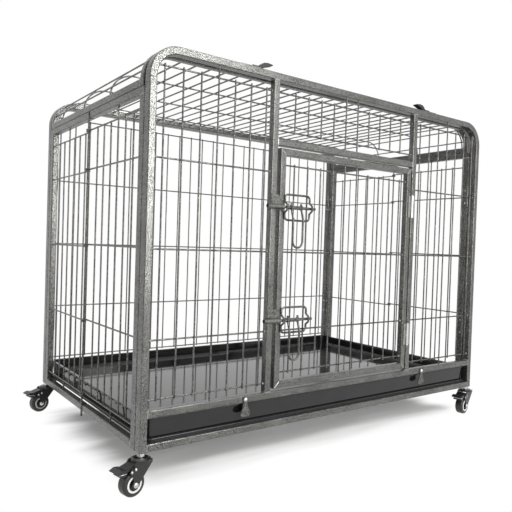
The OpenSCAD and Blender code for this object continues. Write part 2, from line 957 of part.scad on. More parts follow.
module swept_wire(p, d, side, closed) {
    n = len(p);
    m = sweep_sides;
    pts = [for (i = [0:n - 1]) each ring(p, i, d / 2, side, closed)];
    last = closed ? n - 1 : n - 2;
    skin_faces = [for (i = [0:last], k = [0:m - 1])
        let (a = i * m, b = ((i + 1) % n) * m, j = (k + 1) % m)
        each [[a + k, a + j, b + j], [a + k, b + j, b + k]]];
    end_faces = closed ? [] : [
        [for (k = [m - 1:-1:0]) k],
        [for (k = [0:m - 1]) (n - 1) * m + k]];
    polyhedron(points = pts, faces = [for (f = concat(skin_faces, end_faces)) [for (v = f) v]],
        convexity = 6);
}

// Points of a rounded corner: centre, radius, first and last angle, in the XZ plane
corner_steps = 4;
function bend(cx, cz, r, from, to) =
    [for (i = [0:corner_steps])
        let (a = from + (to - from) * i / corner_steps)
        [cx + r * cos(a), 0, cz + r * sin(a)]];

// Guide: an oblong wire loop standing on the door, with two humps that hold the bolt
guide_corner_r = 9;
guide_y = y_front - guide_wire_d / 2;
hump = bolt_y - bolt_d / 2 - side_fit - guide_wire_d / 2 - guide_y;
hump_foot_share = 0.62;
hump_top_share = 0.28;

function guide_upright(x, way) =
    let (reach = guide_h / 2 - guide_corner_r)
    [for (s = [-hump_foot_share, -hump_top_share, hump_top_share, hump_foot_share])
        [x, abs(s) == hump_top_share ? hump : 0, way * s * reach]];

module guide_side(x) {
    reach = guide_h / 2 - guide_corner_r;
    path = concat([[x, 0, -reach]], guide_upright(x, 1), [[x, 0, reach]]);
    swept_wire(path, guide_wire_d, [1, 0, 0], false);
}

module guide_end(way) {
    reach = guide_h / 2 - guide_corner_r;
    left = guide_corner_r;
    right = guide_w - guide_corner_r;
    path = concat(
        bend(left, reach, guide_corner_r, 180, 90),
        bend(right, reach, guide_corner_r, 90, 0));
    scale_z = way;
    swept_wire([for (p = way > 0 ? path : [for (i = [len(path) - 1:-1:0]) path[i]])
        [p[0], p[1], scale_z * p[2]]], guide_wire_d, [0, 1, 0], false);
}

module bolt_guides() {
    color(wire_grey)
        for (z = bolt_heights)
            translate([guide_left, guide_y, z]) {
                guide_side(0);
                guide_side(guide_w);
                guide_end(1);
                guide_end(-1);
            }
}

// Keepers on the far side of the latch post: a ring for the bolt's tip on a welded strap
keeper_len = 13;
keeper_t = 2;
keeper_strap_t = 2.5;
keeper_r = bolt_d / 2 + side_fit + keeper_t;
keeper_right = post_left_x - tube;

module keeper() {
    difference() {
        union() {
            rod([keeper_right - keeper_len, bolt_y, 0], keeper_len, ALONG_X, 2 * keeper_r);
            translate([keeper_right - keeper_strap_t, bolt_y, -keeper_r])
                cube([keeper_strap_t, y_front + tube / 2 - bolt_y, 2 * keeper_r]);
        }
        rod([keeper_right - keeper_len - overrun, bolt_y, 0], keeper_len + 2 * overrun, ALONG_X,
            bolt_d + 2 * side_fit);
    }
}

module bolt_keepers() {
    color(hammertone)
        for (z = bolt_heights)
            translate([0, 0, z])
                keeper();
}

// Bolt: rod with a collar between the handle's two eyes
handle_place_share = 0.42;
handle_x = guide_left + guide_w * handle_place_share;
eye_w = 6;
eye_wall = 1.9;
leg_kick = 8;
elbow_share = 1.06;
kick_drop = 26;
stub_h = 10;
collar_wall = 1.2;

module bolt() {
    collar_len = handle_w - eye_w - 2 * side_fit;
    color(wire_grey) {
        rod([bolt_tip_x, bolt_y, 0], bolt_len, ALONG_X, bolt_d);
        rod([handle_x - collar_len / 2, bolt_y, 0], collar_len, ALONG_X, bolt_d + 2 * collar_wall);
    }
}

module upper_bolt() {
    translate([0, 0, bolt_heights[0]])
        bolt();
}

module lower_bolt() {
    translate([0, 0, bolt_heights[1]])
        bolt();
}

// Handle: two eyes round the rod, legs that kick outwards over the guide, and a U at the bottom
module handle_leg() {
    slope = atan2(leg_kick, kick_drop);
    slant = norm([leg_kick, kick_drop]);
    rotate([-slope, 0, 0])
        rod([0, 0, -slant], slant, ALONG_Z, handle_d);
    translate([0, -leg_kick, -kick_drop])
        sphere(d = handle_d * elbow_share);
    rod([0, -leg_kick, handle_w / 2 - handle_drop], handle_drop - handle_w / 2 - kick_drop, ALONG_Z, handle_d);
    rod([0, 0, 0], stub_h, ALONG_Z, handle_d);
}

module handle() {
    eye_d = bolt_d + 2 * run_fit + 2 * eye_wall;
    half = handle_w / 2;
    color(wire_grey)
        difference() {
            translate([handle_x, bolt_y, 0]) {
                for (side = [-1, 1])
                    translate([side * half, 0, 0]) {
                        rod([-eye_w / 2, 0, 0], eye_w, ALONG_X, eye_d);
                        handle_leg();
                    }
                translate([0, -leg_kick, half - handle_drop])
                    rotate([90, 0, 0])
                        rotate([0, 0, 180])
                            rotate_extrude(angle = 180)
                                translate([half, 0])
                                    circle(d = handle_d);
            }
            rod([handle_x - handle_w, bolt_y, 0], 2 * handle_w, ALONG_X, bolt_d + 2 * run_fit);
        }
}

module upper_handle() {
    translate([0, 0, bolt_heights[0]])
        handle();
}

module lower_handle() {
    translate([0, 0, bolt_heights[1]])
        handle();
}

// Tray turn-buttons: bell-shaped plates on dome screws in the front tray rail
button_z = z0 + tray_rail_z + tube / 2;
button_y = y_front - side_fit;

// One edge of the bell, from the screw down: width as a share of the bell, then drop
bell_shares = [[0.4, 0], [0.4, 0.26], [0.58, 0.5], [0.88, 0.7], [1, 0.81], [0.9, 0.92], [0.4, 1]];
bell_last = len(bell_shares) - 1;

module at_button(side) {
    translate([side * button_x + door_shift, button_y, button_z])
        rotate([90, 0, 0])
            children();
}

module tray_button(side) {
    color(hammertone)
        at_button(side)
            difference() {
                linear_extrude(button_t) {
                    circle(button_r);
                    polygon(concat(
                        [for (e = bell_shares) [-button_bell_r * e[0], -button_drop * e[1]]],
                        [for (i = [bell_last:-1:0])
                            [button_bell_r * bell_shares[i][0], -button_drop * bell_shares[i][1]]]));
                }
                rivet_bore(0, button_t);
            }
}

module left_tray_button() {
    tray_button(-1);
}

module right_tray_button() {
    tray_button(1);
}

module tray_button_screws() {
    color(bright)
        for (side = [-1, 1])
            at_button(side)
                translate([0, 0, -side_fit])
                    rivet(side_fit + button_t + touch_gap);
}

// Casters: local frame has the swivel axis on Z and the sill's underside at z = 0,
// the wheel trailing along +X
caster_x = half_w - tube / 2;
caster_y = y_front + arch_depth / 2;
plug_h = 26;
plug_fit = 0.1;
nut_d = 17;
nut_h = 7;
cap_drop = 9;
cap_h = 6;
cap_d = 40;
cap_rim_h = 3.3;
cap_dome_low_d = 36.5;
cap_dome_top_d = 29;
stem_head_d = 15;
stem_head_h = 3;
axle_z = wheel_d / 2 - caster_h;
cheek_gap = 1.4;
fork_inner = tyre_w / 2 + cheek_gap;
fork_outer = fork_inner + fork_t;
boss_r = 8;
axle_head_d = 10;
axle_head_h = 2;
hub_r_share = 0.68;
hub_r = wheel_d / 2 * hub_r_share;
pedal_x = 24;
pedal_drop = 8.5;
pedal_z = -cap_drop - cap_h - pedal_drop;
pedal_pin_d = 4;
pedal_hub_r = 4.4;

// Plan angle of each caster's trail
trail_angles = [191, 190, 190, 190];

module at_caster(i) {
    translate([i % 2 == 0 ? -caster_x : caster_x, i < 2 ? caster_y : -caster_y, z0])
        rotate([0, 0, trail_angles[i]])
            children();
}

module caster_stems() {
    color(bright)
        for (i = [0:3])
            translate([i % 2 == 0 ? -caster_x : caster_x, i < 2 ? caster_y : -caster_y, z0]) {
                tube_bar(tube - 2 * tube_wall - plug_fit, arch_depth - 2 * tube_wall - plug_fit,
                    edge_r - tube_wall, plug_h, 0);
                translate([0, 0, -nut_h])
                    cylinder(h = nut_h, d = nut_d, $fn = 6);
                rod([0, 0, -cap_drop - cap_h - stem_head_h], cap_drop + cap_h + stem_head_h, ALONG_Z,
                    stem_d);
                rod([0, 0, -cap_drop - cap_h - stem_head_h], stem_head_h - side_fit, ALONG_Z,
                    stem_head_d);
            }
}

// Side outline of a fork cheek: down from the cap to the axle, with a nose for the brake's rivets
cheek_back_share = 0.92;
cheek_nose_x = 25;
cheek_nose_z = -29;
cheek_nose_r = 8;

module fork_cheek() {
    top = -cap_drop - cap_h / 2;
    linear_extrude(fork_t) {
        polygon([
            [-cap_d / 2 * cheek_back_share, top],
            [-cap_d / 2 * cheek_back_share, top - cap_h],
            [trail - boss_r, axle_z],
            [trail + boss_r / 2, axle_z - boss_r / 2],
            [cheek_nose_x, cheek_nose_z - cheek_nose_r],
            [cheek_nose_x + cheek_nose_r / 2, cheek_nose_z],
            [cheek_nose_x, cheek_nose_z + cheek_nose_r],
            [cap_d / 2 * cheek_back_share, top]]);
        translate([trail, axle_z])
            circle(boss_r);
        translate([cheek_nose_x, cheek_nose_z])
            circle(cheek_nose_r);
    }
}

module fork() {
    color(black_steel)
        difference() {
            union() {
                translate([0, 0, -cap_drop - cap_h])
                    cylinder(h = cap_rim_h, d = cap_d);
                translate([0, 0, -cap_drop - cap_h + cap_rim_h])
                    cylinder(h = cap_h - cap_rim_h, d1 = cap_dome_low_d, d2 = cap_dome_top_d);
                for (side = [-1, 1])
                    translate([0, side > 0 ? fork_outer : -fork_inner, 0])
                        rotate([90, 0, 0])
                            fork_cheek();
                rod([trail, -fork_outer, axle_z], 2 * fork_outer, ALONG_Y, axle_d);
                for (y = [-fork_outer - axle_head_h, fork_outer])
                    rod([trail, y, axle_z], axle_head_h, ALONG_Y, axle_head_d);
                rod([pedal_x, -fork_outer - axle_head_h / 2, pedal_z], 2 * fork_outer + axle_head_h,
                    ALONG_Y, pedal_pin_d);
            }
            translate([0, 0, -cap_drop - cap_h - overrun])
                cylinder(h = cap_h + 2 * overrun, d = stem_d + 2 * run_fit);
        }
}

tyre_round = 5;

module tyre() {
    color(rubber)
        translate([trail, 0, axle_z])
            rotate([90, 0, 0])
                difference() {
                    union() {
                        translate([0, 0, tyre_round - tyre_w / 2])
                            cylinder(h = tyre_w - 2 * tyre_round, d = wheel_d);
                        translate([0, 0, -tyre_w / 2])
                            cylinder(h = tyre_w, r = wheel_d / 2 - tyre_round);
                        for (side = [-1, 1])
                            translate([0, 0, side * (tyre_w / 2 - tyre_round)])
                                rotate_extrude()
                                    translate([wheel_d / 2 - tyre_round, 0])
                                        circle(tyre_round);
                    }
                    translate([0, 0, -tyre_w / 2 - overrun])
                        cylinder(h = tyre_w + 2 * overrun, r = hub_r);
                }
}

hub_ring_w = 3.2;
hub_dish = 3;

module hub() {
    color(bright)
        translate([trail, 0, axle_z])
            rotate([90, 0, 0])
                difference() {
                    translate([0, 0, -tyre_w / 2])
                        cylinder(h = tyre_w, r = hub_r - touch_gap / 2);
                    for (z = [-tyre_w / 2 - overrun, tyre_w / 2 - hub_dish])
                        translate([0, 0, z])
                            difference() {
                                cylinder(h = hub_dish + overrun, r = hub_r - hub_ring_w);
                                translate([0, 0, -overrun])
                                    cylinder(h = hub_dish + 3 * overrun, r = axle_d);
                            }
                    translate([0, 0, -tyre_w / 2 - overrun])
                        cylinder(h = tyre_w + 2 * overrun, d = axle_d + 2 * run_fit);
                }
}

// Brake pedal on a cross pin ahead of the stem: a sloping hood, a finger tread and a toothed shoe
pedal_w = 2 * fork_inner - 2 * side_fit;
pedal_tread_w = 30;
hood_gap = 1.2;
hood_start = cap_d / 2 + hood_gap;
hood_top = -cap_drop - cap_h - hood_gap;
tread_start_share = 0.66;
tread_z = -23;
tread_t = 3.4;
tread_lift = 1.6;
shoe_start = 41;
shoe_len = 12;
shoe_z = -32.5;
pedal_teeth = 4;
tooth_d = 3.6;

module pedal() {
    tread_x = pedal_reach * tread_start_share;
    color(black_plastic)
        difference() {
            union() {
                rod([pedal_x, -pedal_w / 2, pedal_z], pedal_w, ALONG_Y, 2 * pedal_hub_r);
                translate([0, pedal_w / 2, 0])
                    rotate([90, 0, 0])
                        linear_extrude(pedal_w)
                            polygon([
                                [hood_start, pedal_z],
                                [pedal_x, pedal_z - pedal_hub_r / 2],
                                [tread_x, tread_z - tread_t],
                                [tread_x, tread_z + tread_lift],
                                [hood_start, hood_top]]);
                translate([0, pedal_tread_w / 2, 0])
                    rotate([90, 0, 0])
                        linear_extrude(pedal_tread_w)
                            polygon([
                                [tread_x, tread_z - tread_t],
                                [pedal_reach - tread_t, tread_z - tread_t],
                                [pedal_reach, tread_z - tread_lift],
                                [(tread_x + pedal_reach) / 2, tread_z + 2 * tread_lift],
                                [tread_x, tread_z + tread_lift]]);
                translate([shoe_start, -pedal_w / 2, shoe_z])
                    cube([shoe_len, pedal_w, tread_z - tread_t / 2 - shoe_z]);
                for (i = [0:pedal_teeth - 1])
                    rod([shoe_start + tooth_d / 2 + i * (shoe_len - tooth_d) / (pedal_teeth - 1),
                        -pedal_w / 2, shoe_z], pedal_w, ALONG_Y, tooth_d);
            }
            rod([pedal_x, -pedal_w, pedal_z], 2 * pedal_w, ALONG_Y, pedal_pin_d + 2 * run_fit);
        }
}

module front_left_fork() {
    at_caster(0)
        fork();
}

module front_left_tyre() {
    at_caster(0)
        tyre();
}

module front_left_hub() {
    at_caster(0)
        hub();
}

module front_left_pedal() {
    at_caster(0)
        pedal();
}

module front_right_fork() {
    at_caster(1)
        fork();
}

module front_right_tyre() {
    at_caster(1)
        tyre();
}

module front_right_hub() {
    at_caster(1)
        hub();
}

module front_right_pedal() {
    at_caster(1)
        pedal();
}

module back_left_fork() {
    at_caster(2)
        fork();
}

module back_left_tyre() {
    at_caster(2)
        tyre();
}

module back_left_hub() {
    at_caster(2)
        hub();
}

module back_left_pedal() {
    at_caster(2)
        pedal();
}

module back_right_fork() {
    at_caster(3)
        fork();
}

module back_right_tyre() {
    at_caster(3)
        tyre();
}

module back_right_hub() {
    at_caster(3)
        hub();
}

module back_right_pedal() {
    at_caster(3)
        pedal();
}

front_arch();
front_posts();
front_rails();
front_bay_grilles();
transom_grille();
back_arch();
back_rails();
back_grille();
left_leaf_frames();
right_leaf_frames();
left_leaf_wires();
right_leaf_wires();
side_hinge_rods();
corner_hinges();
floor_bars();
tray();
roof_arches();
roof_side_rails();
roof_long_wires();
roof_cross_wires();
roof_hinge_leaves();
back_hinge_leaves();
roof_hinge_pins();
latch_plates();
left_latch_lever();
right_latch_lever();
latch_rivets();
door_frame();
door_grille();
door_hinge_leaves();
post_hinge_leaves();
door_hinge_pins();
strike_plates();
bolt_guides();
bolt_keepers();
upper_bolt();
lower_bolt();
upper_handle();
lower_handle();
left_tray_button();
right_tray_button();
tray_button_screws();
caster_stems();
front_left_fork();
front_left_tyre();
front_left_hub();
front_left_pedal();
front_right_fork();
front_right_tyre();
front_right_hub();
front_right_pedal();
back_left_fork();
back_left_tyre();
back_left_hub();
back_left_pedal();
back_right_fork();
back_right_tyre();
back_right_hub();
back_right_pedal();
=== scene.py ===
# A heavy folding dog crate on casters: hammertone tube and wire, a black moulded tray,
# painted and zinc-plated hinges and four braked casters, standing on a white cloth.
import json
import math
from itertools import product

import bmesh
import bpy
from mathutils import Matrix, Vector, noise


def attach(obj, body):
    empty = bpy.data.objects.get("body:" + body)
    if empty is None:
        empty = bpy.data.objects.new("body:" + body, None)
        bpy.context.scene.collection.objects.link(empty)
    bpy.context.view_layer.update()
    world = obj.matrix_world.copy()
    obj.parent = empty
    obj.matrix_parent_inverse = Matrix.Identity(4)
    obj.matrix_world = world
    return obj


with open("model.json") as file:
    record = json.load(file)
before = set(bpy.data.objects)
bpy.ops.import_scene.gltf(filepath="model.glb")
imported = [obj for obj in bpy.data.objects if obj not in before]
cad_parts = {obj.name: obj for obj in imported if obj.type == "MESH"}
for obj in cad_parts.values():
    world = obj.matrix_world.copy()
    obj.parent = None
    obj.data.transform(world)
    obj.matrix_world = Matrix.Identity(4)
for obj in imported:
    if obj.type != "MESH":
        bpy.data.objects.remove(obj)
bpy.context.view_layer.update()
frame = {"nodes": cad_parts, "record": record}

nodes = frame["nodes"]
scene = bpy.context.scene
scene.view_settings.view_transform = "Standard"
MM = 0.001

# Camera: where the photograph was taken from, worked out from the crate's own edges
CAMERA_PLACE = Vector((-1.0131, -1.3320, 0.4929))
CAMERA_YAW = math.radians(36.10)
CAMERA_PITCH = math.radians(-1.148)
CAMERA_ROLL = math.radians(1.867)
CAMERA_LENS = 39.77
SENSOR = 36.0
CLIP_END = 60.0


def make_camera():
    ahead = Vector((math.sin(CAMERA_YAW) * math.cos(CAMERA_PITCH),
                    math.cos(CAMERA_YAW) * math.cos(CAMERA_PITCH),
                    math.sin(CAMERA_PITCH)))
    level = Vector((math.cos(CAMERA_YAW), -math.sin(CAMERA_YAW), 0.0))
    over = level.cross(ahead)
    right = math.cos(CAMERA_ROLL) * level + math.sin(CAMERA_ROLL) * over
    up = math.cos(CAMERA_ROLL) * over - math.sin(CAMERA_ROLL) * level
    data = bpy.data.cameras.new("camera")
    data.lens = CAMERA_LENS
    data.sensor_width = SENSOR
    data.sensor_fit = "HORIZONTAL"
    data.clip_end = CLIP_END
    camera = bpy.data.objects.new("camera", data)
    turn = Matrix((right, up, -ahead)).transposed().to_4x4()
    camera.matrix_world = Matrix.Translation(CAMERA_PLACE) @ turn
    scene.collection.objects.link(camera)
    scene.camera = camera


make_camera()


def colour(code):
    """An sRGB hex value as linear RGBA."""
    channels = [int(code[i:i + 2], 16) / 255 for i in (1, 3, 5)]
    linear = [c / 12.92 if c <= 0.04045 else ((c + 0.055) / 1.055) ** 2.4 for c in channels]
    return (*linear, 1.0)


def add(tree, kind, settings=None, stops=(), **sockets):
    """Adds a node: its properties, its colour stops, and its inputs set or linked by name or by _place."""
    made = tree.nodes.new(kind)
    for name, value in (settings or {}).items():
        setattr(made, name, value)
    if stops:
        ramp = made.color_ramp.elements
        ramp[0].position, ramp[1].position = stops[0][0], stops[-1][0]
        for place, _ in stops[1:-1]:
            ramp.new(place)
        for element, (_, code) in zip(ramp, stops):
            element.color = colour(code)
    for name, value in sockets.items():
        socket = made.inputs[int(name[1:]) if name[0] == "_" else name.replace("_", " ")]
        if isinstance(value, bpy.types.NodeSocket):
            tree.links.new(value, socket)
        else:
            socket.default_value = value
    return made


def start(name):
    """A new material with an empty node tree; gives the material, its tree and object coordinates."""
    made = bpy.data.materials.new(name)
    made.use_nodes = True
    made.node_tree.nodes.clear()
    place = add(made.node_tree, "ShaderNodeTexCoord").outputs["Object"]
    return made, made.node_tree, place


def close(tree, shader):
    """Links a finished shader to the material's output."""
    add(tree, "ShaderNodeOutputMaterial", Surface=shader.outputs[0])


def seen_or_mirrored(tree):
    """1 for rays from the camera, from a mirroring surface or through a clear one; 0 for the rest."""
    ray = add(tree, "ShaderNodeLightPath")
    mirrored = add(tree, "ShaderNodeMath", {"operation": "MAXIMUM"}, _0=ray.outputs["Is Glossy Ray"],
                   _1=ray.outputs["Is Transmission Ray"])
    seen = add(tree, "ShaderNodeMath", {"operation": "MAXIMUM"}, _0=ray.outputs["Is Camera Ray"],
               _1=mirrored.outputs[0])
    return seen.outputs[0]


def per_mm(size):
    """Texture scale at which one feature measures size millimetres."""
    return 1.0 / (size * MM)


# Hammertone powder coat: baked paint that draws up into silver cells about 2 mm across, with dark
# valleys between. The cells wobble, and their tone drifts slowly along a tube.
WOBBLE_SIZE = 0.6
WOBBLE_SHARE = 0.3
DRIFT_SHARE = 0.18
DIMPLE_MM = 0.2


def hammertone(name, dark, mid, light, cell_mm, drift_mm, metal):
    made, tree, place = start(name)
    wobble = add(tree, "ShaderNodeTexNoise", Vector=place, Scale=per_mm(cell_mm * WOBBLE_SIZE), Detail=2.0)
    cells = add(tree, "ShaderNodeTexVoronoi", {"feature": "SMOOTH_F1"}, Vector=place,
                Scale=per_mm(cell_mm), Smoothness=0.3, Randomness=0.8)
    grain = add(tree, "ShaderNodeMath", {"operation": "MULTIPLY_ADD"}, _0=wobble.outputs["Fac"],
                _1=WOBBLE_SHARE, _2=cells.outputs["Distance"])
    drift = add(tree, "ShaderNodeTexNoise", Vector=place, Scale=per_mm(drift_mm), Detail=1.0)
    level = add(tree, "ShaderNodeMath", {"operation": "MULTIPLY_ADD"}, _0=drift.outputs["Fac"],
                _1=DRIFT_SHARE, _2=grain.outputs[0])
    paint = add(tree, "ShaderNodeValToRGB", stops=[(0.38, light), (0.62, mid), (0.86, dark)],
                Fac=level.outputs[0])
    dimple = add(tree, "ShaderNodeBump", {"invert": True}, Strength=0.3, Distance=DIMPLE_MM * MM,
                 Height=grain.outputs[0])
    rough = add(tree, "ShaderNodeMapRange", Value=grain.outputs[0], From_Min=0.2, From_Max=0.95,
                To_Min=0.25, To_Max=0.37)
    shader = add(tree, "ShaderNodeBsdfPrincipled", Base_Color=paint.outputs["Color"], Metallic=metal,
                 Roughness=rough.outputs["Result"], Normal=dimple.outputs["Normal"])
    close(tree, shader)
    return made


# Zinc-plated steel, pressed and tumbled: bright, slightly cloudy, with fine scratches
CLOUD_MM = 9.0
SCRATCH_MM = 1.5


def zinc_plate(name, dark, light, roughness):
    made, tree, place = start(name)
    cloud = add(tree, "ShaderNodeTexNoise", Vector=place, Scale=per_mm(CLOUD_MM), Detail=4.0)
    metal = add(tree, "ShaderNodeValToRGB", stops=[(0.35, dark), (0.65, light)],
                Fac=cloud.outputs["Fac"])
    scratch = add(tree, "ShaderNodeTexNoise", Vector=place, Scale=per_mm(SCRATCH_MM), Detail=3.0)
    rough = add(tree, "ShaderNodeMapRange", Value=scratch.outputs["Fac"],
                To_Min=roughness - 0.07, To_Max=roughness + 0.1)
    shader = add(tree, "ShaderNodeBsdfPrincipled", Base_Color=metal.outputs["Color"], Metallic=1.0,
                 Roughness=rough.outputs["Result"])
    close(tree, shader)
    return made


# Door hinge: the leaves wear the frame's paint, and the paint has worn off the knuckles to bare steel
CHIP_MM = 2.0
HINGE_CELL_MM = 3.0


def worn_hinge(name, paint_dark, paint_light, steel, axis_x, knuckle_r):
    made, tree, place = start(name)
    across = add(tree, "ShaderNodeSeparateXYZ", Vector=place)
    off = add(tree, "ShaderNodeMath", {"operation": "SUBTRACT"}, _0=across.outputs["X"], _1=axis_x)
    far = add(tree, "ShaderNodeMath", {"operation": "ABSOLUTE"}, _0=off.outputs[0])
    chip = add(tree, "ShaderNodeTexNoise", Vector=place, Scale=per_mm(CHIP_MM), Detail=3.0)
    ragged = add(tree, "ShaderNodeMath", {"operation": "MULTIPLY_ADD"}, _0=chip.outputs["Fac"],
                 _1=knuckle_r * 0.35, _2=far.outputs[0])
    bare = add(tree, "ShaderNodeMapRange", Value=ragged.outputs[0], From_Min=knuckle_r * 1.05,
               From_Max=knuckle_r * 1.3, To_Min=1.0, To_Max=0.0)
    cells = add(tree, "ShaderNodeTexVoronoi", {"feature": "SMOOTH_F1"}, Vector=place,
                Scale=per_mm(HINGE_CELL_MM))
    paint = add(tree, "ShaderNodeValToRGB", stops=[(0.25, paint_light), (0.75, paint_dark)],
                Fac=cells.outputs["Distance"])
    skin = add(tree, "ShaderNodeMix", {"data_type": "RGBA"}, _0=bare.outputs["Result"],
               _6=paint.outputs["Color"], _7=colour(steel))
    gloss = add(tree, "ShaderNodeMapRange", Value=bare.outputs["Result"], To_Min=0.4, To_Max=0.26)
    metal = add(tree, "ShaderNodeMapRange", Value=bare.outputs["Result"], To_Min=0.5, To_Max=1.0)
    shader = add(tree, "ShaderNodeBsdfPrincipled", Base_Color=skin.outputs[2],
                 Metallic=metal.outputs["Result"], Roughness=gloss.outputs["Result"])
    close(tree, shader)
    return made


# Moulded and stoved finishes: a faint mottle in the colour, in the gloss and in the relief
def moulded(name, dark, light, smooth, matt, grain_mm, relief_mm):
    made, tree, place = start(name)
    mottle = add(tree, "ShaderNodeTexNoise", Vector=place, Scale=per_mm(grain_mm), Detail=4.0)
    skin = add(tree, "ShaderNodeValToRGB", stops=[(0.3, dark), (0.7, light)], Fac=mottle.outputs["Fac"])
    rough = add(tree, "ShaderNodeMapRange", Value=mottle.outputs["Fac"], To_Min=smooth, To_Max=matt)
    pebble = add(tree, "ShaderNodeBump", Strength=0.2, Distance=relief_mm * MM,
                 Height=mottle.outputs["Fac"])
    shader = add(tree, "ShaderNodeBsdfPrincipled", Base_Color=skin.outputs["Color"],
                 Roughness=rough.outputs["Result"], Normal=pebble.outputs["Normal"])
    close(tree, shader)
    return made


# Polypropylene, moulded against polished steel: near-black and glossy, with slow waves in the gloss;
# the base flange has scuffed matt where it slides on the bars
WAVE_MM = 45.0
WAVE_DEPTH_MM = 0.05
SCUFF_FADE_MM = 1.5
SCUFF = 0.42


def tray_plastic(name, dark, light, scuffed_below):
    made, tree, place = start(name)
    mottle = add(tree, "ShaderNodeTexNoise", Vector=place, Scale=per_mm(WAVE_MM), Detail=4.0)
    skin = add(tree, "ShaderNodeValToRGB", stops=[(0.3, dark), (0.7, light)], Fac=mottle.outputs["Fac"])
    height = add(tree, "ShaderNodeSeparateXYZ", Vector=place)
    scuff = add(tree, "ShaderNodeMapRange", Value=height.outputs["Z"], From_Min=scuffed_below,
                From_Max=scuffed_below + SCUFF_FADE_MM * MM, To_Min=SCUFF, To_Max=0.0)
    rough = add(tree, "ShaderNodeMapRange", Value=mottle.outputs["Fac"], To_Min=0.05, To_Max=0.11)
    worn = add(tree, "ShaderNodeMath", _0=rough.outputs["Result"], _1=scuff.outputs["Result"])
    wave = add(tree, "ShaderNodeBump", Strength=0.2, Distance=WAVE_DEPTH_MM * MM,
               Height=mottle.outputs["Fac"])
    shader = add(tree, "ShaderNodeBsdfPrincipled", Base_Color=skin.outputs["Color"],
                 Roughness=worn.outputs[0], Normal=wave.outputs["Normal"])
    close(tree, shader)
    return made


# Places that a finish follows, in millimetres
DOOR_HINGE_X = 234.25
KNUCKLE_R = 3.5
FLANGE_TOP = 102.5

# Paint on the tubes and on the wires: silver grain over charcoal; over the welds it is drawn paler, a
# painted highlight for the glint that the rounded beads catch
FRAME_PAINT = hammertone("hammertone_powder_coat", "#3b3b39", "#737370", "#b5b5b1", 1.9, 70.0, 0.8)
WIRE_PAINT = hammertone("hammertone_wire_coat", "#3b3b39", "#70706d", "#aeaeaa", 1.9, 90.0, 0.8)
WELD_HIGHLIGHT_PAINT = hammertone("hammertone_weld_painted_highlight", "#8e8e8b", "#b4b4b0", "#d0d0cc", 1.6, 20.0, 0.7)
ZINC = zinc_plate("zinc_plated_steel", "#b4b5b6", "#dcdddd", 0.28)
WORN_HINGE = worn_hinge("worn_hinge_steel", "#6b6c67", "#9b9c96", "#d6d7d6", DOOR_HINGE_X * MM,
                        KNUCKLE_R * MM)
TRAY_BLACK = tray_plastic("polypropylene_gloss_black", "#131314", "#1c1c1d", FLANGE_TOP * MM)
# The tray's rolled edges catch a thin bright line; their colour is drawn a little lighter than the tray's,
# a painted highlight along that line
ROLLED_BLACK_HIGHLIGHT = moulded("polypropylene_rolled_edge_painted_highlight", "#1c1c1d", "#2a2a2b", 0.14, 0.24, 12.0, 0.05)
# Roof levers: dull black, with no clear highlight
LEVER_BLACK = moulded("black_stoved_enamel", "#161616", "#202020", 0.48, 0.62, 4.0, 0.08)
# Caster forks: thin satin coat with sharp highlights along the bends
FORK_BLACK = moulded("black_electrocoat", "#1b1b1a", "#292928", 0.22, 0.36, 3.0, 0.05)
# Tyres: soft sheen on dark grey
TYRE_RUBBER = moulded("polyurethane_tread", "#1e1e1d", "#2d2d2b", 0.3, 0.46, 2.0, 0.06)
# Hubs: flat black beside the white ring
HUB_BLACK = moulded("moulded_nylon_hub", "#1b1b1b", "#282827", 0.35, 0.5, 4.0, 0.05)
# Hub rings: the one clean white on the casters
RING_WHITE = moulded("white_nylon_ring", "#e2e2df", "#f0f0ed", 0.25, 0.4, 5.0, 0.03)
# Brake pedals: black with a fine pebble
PEDAL_BLACK = moulded("glass_filled_nylon", "#161616", "#232322", 0.3, 0.46, 1.5, 0.06)

FINISHES = {"frame_paint": FRAME_PAINT, "wire_paint": WIRE_PAINT, "zinc": ZINC,
            "tray_plastic": TRAY_BLACK, "lever_black": LEVER_BLACK, "fork_black": FORK_BLACK,
            "tyre": TYRE_RUBBER, "hub": HUB_BLACK, "pedal_plastic": PEDAL_BLACK}
WORN_NODES = ("door_hinge_leaves", "post_hinge_leaves")


def wear(piece, finish):
    """Gives a piece one finish all over."""
    piece.data.materials.clear()
    piece.data.materials.append(finish)


for entry in frame["record"]["subparts"]:
    name = entry["node"]
    wear(nodes[name], WORN_HINGE if name in WORN_NODES else FINISHES[entry["material_slot"]])

MERGE = 0.002
CREASE = math.radians(42)


def finished(bm, name, body, finish):
    """Turns what was built, in millimetres, into a piece that rides on a body and wears a finish."""
    bmesh.ops.remove_doubles(bm, verts=bm.verts, dist=MERGE)
    bmesh.ops.recalc_face_normals(bm, faces=bm.faces)
    mesh = bpy.data.meshes.new(name)
    bm.to_mesh(mesh)
    bm.free()
    mesh.transform(Matrix.Scale(MM, 4))
    mesh.shade_smooth()
    mesh.set_sharp_from_angle(angle=CREASE)
    piece = bpy.data.objects.new(name, mesh)
    scene.collection.objects.link(piece)
    wear(piece, finish)
    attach(piece, body)


def turned(bm, profile, place, steps):
    """Turns a profile of (radius, height) points about the place's own Z axis."""
    rings = []
    for radius, height in profile:
        angles = [math.tau * k / steps for k in range(steps)] if radius else [0.0]
        rings.append([bm.verts.new(place @ Vector((radius * math.cos(a), radius * math.sin(a), height)))
                      for a in angles])
    for low, high in zip(rings, rings[1:]):
        for k in range(steps):
            corners = [low[k % len(low)], low[(k + 1) % len(low)],
                       high[(k + 1) % len(high)], high[k % len(high)]]
            bm.faces.new(list(dict.fromkeys(corners)))


